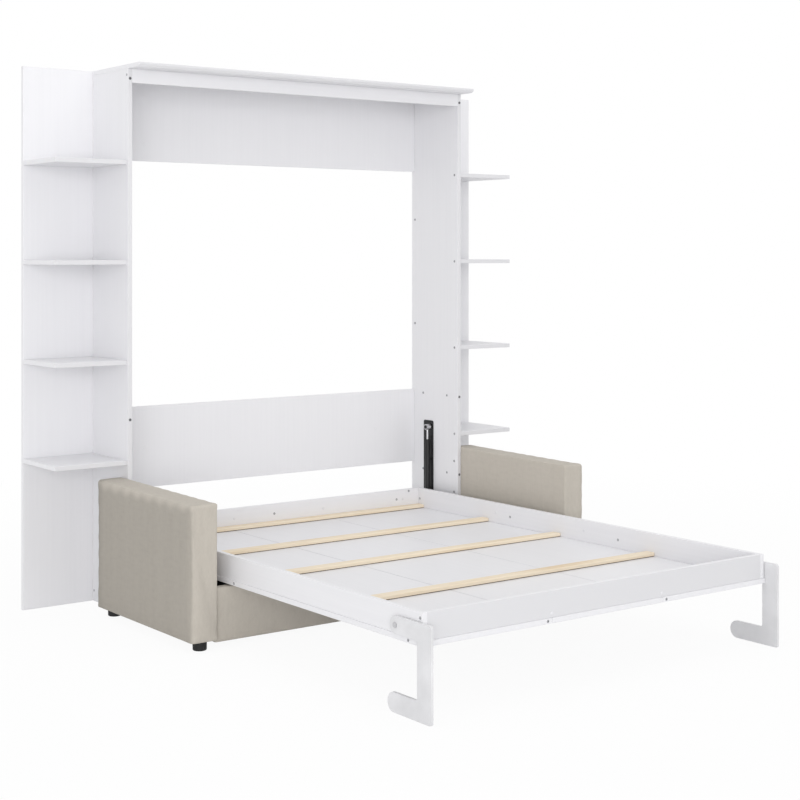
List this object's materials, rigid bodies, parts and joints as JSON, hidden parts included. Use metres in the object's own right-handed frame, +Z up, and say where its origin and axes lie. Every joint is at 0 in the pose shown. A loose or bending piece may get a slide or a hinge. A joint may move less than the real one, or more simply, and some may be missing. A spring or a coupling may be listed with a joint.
{
  "type": "wall bed",
  "caption": "Wall bed whose shallow slatted tray tilts down on gas struts from an open upright frame with side shelves, over a low sofa with padded arms, onto swinging legs.",
  "frame": {"origin": "on the floor, at the middle of the footprint with the bed down", "axes": "+X along the wall, +Y towards the wall, +Z up"},
  "size_m": [2.326, 2.258, 2.2],
  "materials": {
    "white_board": "white satin laminate on particle board",
    "pine": "bare planed pine",
    "seat_ply": "plywood stained black",
    "linen": "greige linen-look weave over foam",
    "black_steel": "black powder coat",
    "bright_steel": "zinc-plated steel",
    "white_steel": "white powder coat",
    "grey_cover": "satin grey screw covers",
    "bush_plastic": "plain acetal",
    "black_plastic": "moulded matt black"
  },
  "bodies": {
    "cabinet": {"arm_feet": "black_plastic", "frieze": "white_board", "front_edge_covers": "grey_cover", "front_seat_rail": "seat_ply", "left_arm": "linen", "left_lift_plate": "black_steel", "left_pivot_pin": "bright_steel", "left_post": "white_board", "left_seat_rail": "seat_ply", "left_shelf_1": "white_board", "left_shelf_2": "white_board", "left_shelf_3": "white_board", "left_shelf_4": "white_board", "left_shelf_back": "white_board", "left_strut_pin": "bright_steel", "lift_plate_bolts": "bright_steel", "lower_back_board": "white_board", "post_screw_covers": "grey_cover", "rear_seat_rail": "seat_ply", "right_arm": "linen", "right_lift_plate": "black_steel", "right_pivot_pin": "bright_steel", "right_post": "white_board", "right_seat_rail": "seat_ply", "right_shelf_1": "white_board", "right_shelf_2": "white_board", "right_shelf_3": "white_board", "right_shelf_4": "white_board", "right_shelf_back": "white_board", "right_strut_pin": "bright_steel", "seat_front": "linen", "seat_platform": "seat_ply", "top_board": "white_board", "upper_back_board": "white_board"},
    "bed": {"left_side_rail": "white_board", "right_side_rail": "white_board", "foot_rail": "white_board", "head_rail": "white_board", "deck_panel_left": "white_board", "deck_panel_centre": "white_board", "deck_panel_right": "white_board", "slat_1": "pine", "slat_2": "pine", "slat_3": "pine", "slat_4": "pine", "foot_rail_covers": "grey_cover", "rail_screw_covers": "grey_cover", "left_pivot_bracket": "black_steel", "right_pivot_bracket": "black_steel", "pivot_bushes": "bush_plastic", "strut_studs": "bright_steel", "leg_pivot_bolts": "bright_steel"},
    "left_leg": {"left_leg": "white_steel"},
    "right_leg": {"right_leg": "white_steel"},
    "left_strut_rod": {"left_strut_rod": "bright_steel"},
    "right_strut_rod": {"right_strut_rod": "bright_steel"},
    "left_strut_cylinder": {"left_strut_cylinder": "black_steel"},
    "right_strut_cylinder": {"right_strut_cylinder": "black_steel"}
  },
  "joints": [
    {"name": "bed_tilt", "type": "hinge", "parent": "cabinet", "child": "bed", "pos_m": [0, 0.811, 0.226], "axis": [-1, 0, 0], "range_deg": [0, 90]},
    {"name": "left_leg_swing", "type": "hinge", "parent": "bed", "child": "left_leg", "pos_m": [-0.802, -0.946, 0.2765], "axis": [-1, 0, 0], "range_deg": [-90, 0]},
    {"name": "left_strut_swing", "type": "hinge", "parent": "cabinet", "child": "left_strut_rod", "pos_m": [-0.817, 0.981, 0.622], "axis": [-1, 0, 0], "range_deg": [0, 13.32]},
    {"name": "left_strut_slide", "type": "slide", "parent": "left_strut_rod", "child": "left_strut_cylinder", "axis": [0, 0, -1], "range_m": [0, 0.22166]},
    {"name": "right_leg_swing", "type": "hinge", "parent": "bed", "child": "right_leg", "pos_m": [0.802, -0.946, 0.2765], "axis": [-1, 0, 0], "range_deg": [-90, 0]},
    {"name": "right_strut_swing", "type": "hinge", "parent": "cabinet", "child": "right_strut_rod", "pos_m": [0.817, 0.981, 0.622], "axis": [-1, 0, 0], "range_deg": [0, 13.32]},
    {"name": "right_strut_slide", "type": "slide", "parent": "right_strut_rod", "child": "right_strut_cylinder", "axis": [0, 0, -1], "range_m": [0, 0.22166]}
  ],
  "couplings": [
    {"joint": "left_leg_swing", "follows": "bed_tilt", "ratio": -1},
    {"joint": "left_strut_swing", "follows": "bed_tilt", "ratio": 0.14799},
    {"joint": "left_strut_slide", "follows": "bed_tilt", "m_per_rad": 0.1411},
    {"joint": "right_leg_swing", "follows": "bed_tilt", "ratio": -1},
    {"joint": "right_strut_swing", "follows": "bed_tilt", "ratio": 0.14799},
    {"joint": "right_strut_slide", "follows": "bed_tilt", "m_per_rad": 0.1411}
  ]
}
